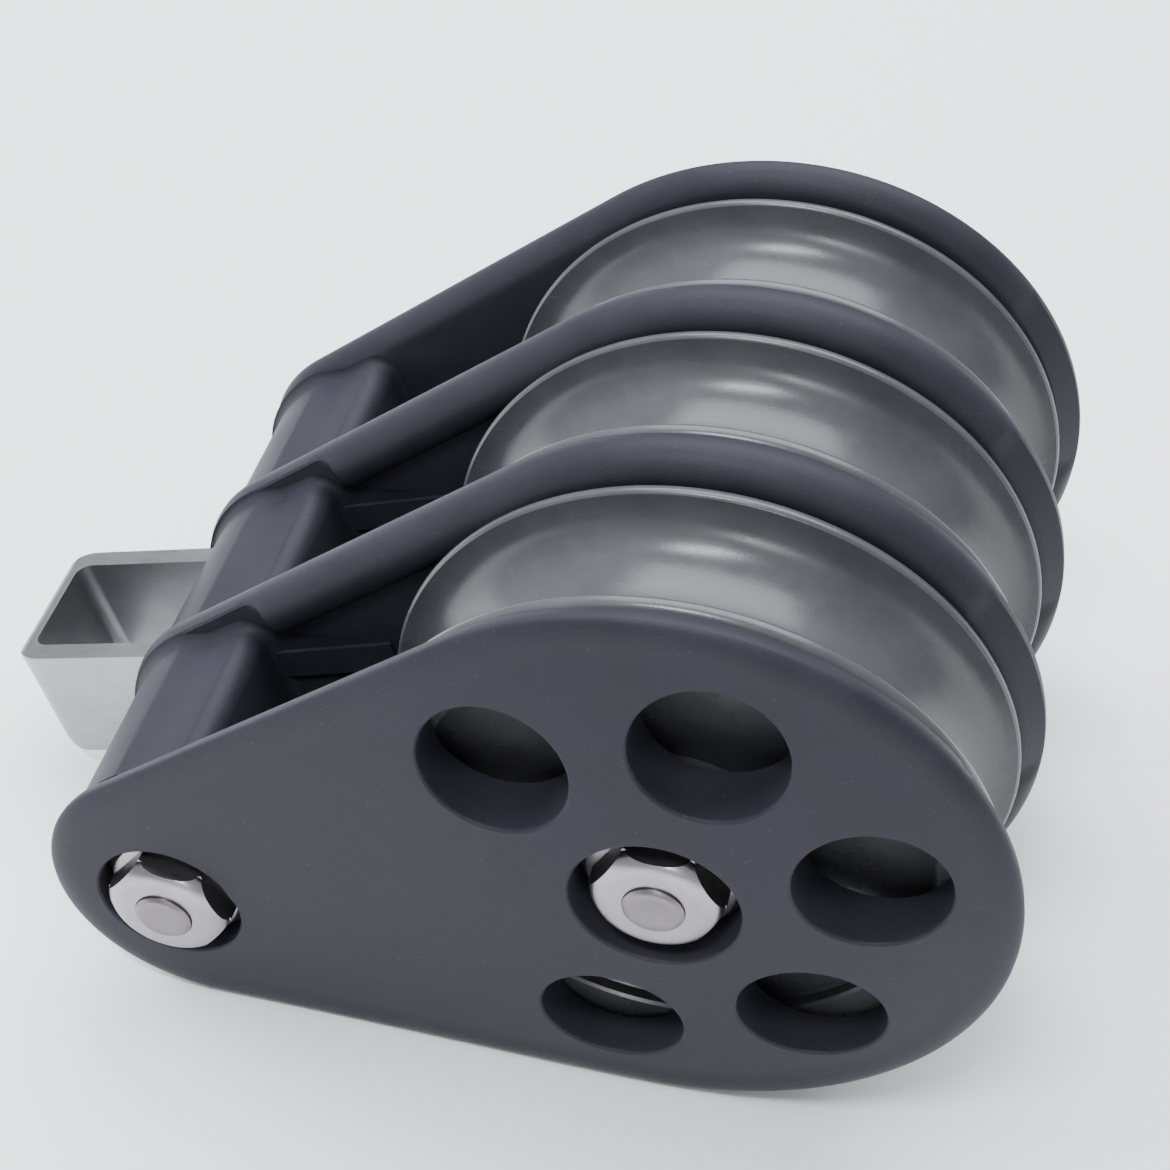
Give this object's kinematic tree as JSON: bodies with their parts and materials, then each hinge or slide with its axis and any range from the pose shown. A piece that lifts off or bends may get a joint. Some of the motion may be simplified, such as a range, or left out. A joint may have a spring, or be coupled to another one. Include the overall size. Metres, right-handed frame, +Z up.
{
  "type": "triple sheave block",
  "caption": "Flat-sided pulley block with three side-by-side rope sheaves between pierced domed cheeks, and a bent steel eye strap at its narrow end.",
  "frame": {"origin": "centre of the bounding box's bottom face, on the ground under the block, which lies on the straight lower edges of its four plates", "axes": "+X from the eye strap towards the round end, level with the ground; +Y along the axle, from the side with the nuts towards the side with the bolt heads; +Z up"},
  "size_m": [0.099, 0.069, 0.0583],
  "materials": {
    "plate_plastic": "matt, moulded",
    "sheave_plastic": "satin, turned",
    "bush_plastic": "satin",
    "stainless": "polished stainless steel"
  },
  "bodies": {
    "block": {"axle_bolt": "stainless", "axle_nut": "stainless", "axle_sleeve_far": "stainless", "axle_sleeve_middle": "stainless", "axle_sleeve_near": "stainless", "axle_washer_far": "stainless", "axle_washer_near": "stainless", "eye_strap": "stainless", "far_cheek": "plate_plastic", "far_divider": "plate_plastic", "head_bolt": "stainless", "head_nut": "stainless", "head_spacer_far": "plate_plastic", "head_spacer_middle": "plate_plastic", "head_spacer_near": "plate_plastic", "head_washer_far": "stainless", "head_washer_near": "stainless", "near_cheek": "plate_plastic", "near_divider": "plate_plastic"},
    "near_wheel": {"sheave_near": "sheave_plastic", "sheave_bush_near": "bush_plastic"},
    "middle_wheel": {"sheave_middle": "sheave_plastic", "sheave_bush_middle": "bush_plastic"},
    "far_wheel": {"sheave_far": "sheave_plastic", "sheave_bush_far": "bush_plastic"}
  },
  "joints": [
    {"name": "near_sheave_spin", "type": "hinge", "parent": "block", "child": "near_wheel", "pos_m": [0.02034, -0.02035, 0.0292], "axis": [0, 1, 0], "continuous": true},
    {"name": "middle_sheave_spin", "type": "hinge", "parent": "block", "child": "middle_wheel", "pos_m": [0.02034, 0.00025, 0.0292], "axis": [0, 1, 0], "continuous": true},
    {"name": "far_sheave_spin", "type": "hinge", "parent": "block", "child": "far_wheel", "pos_m": [0.02034, 0.02085, 0.0292], "axis": [0, 1, 0], "continuous": true}
  ]
}
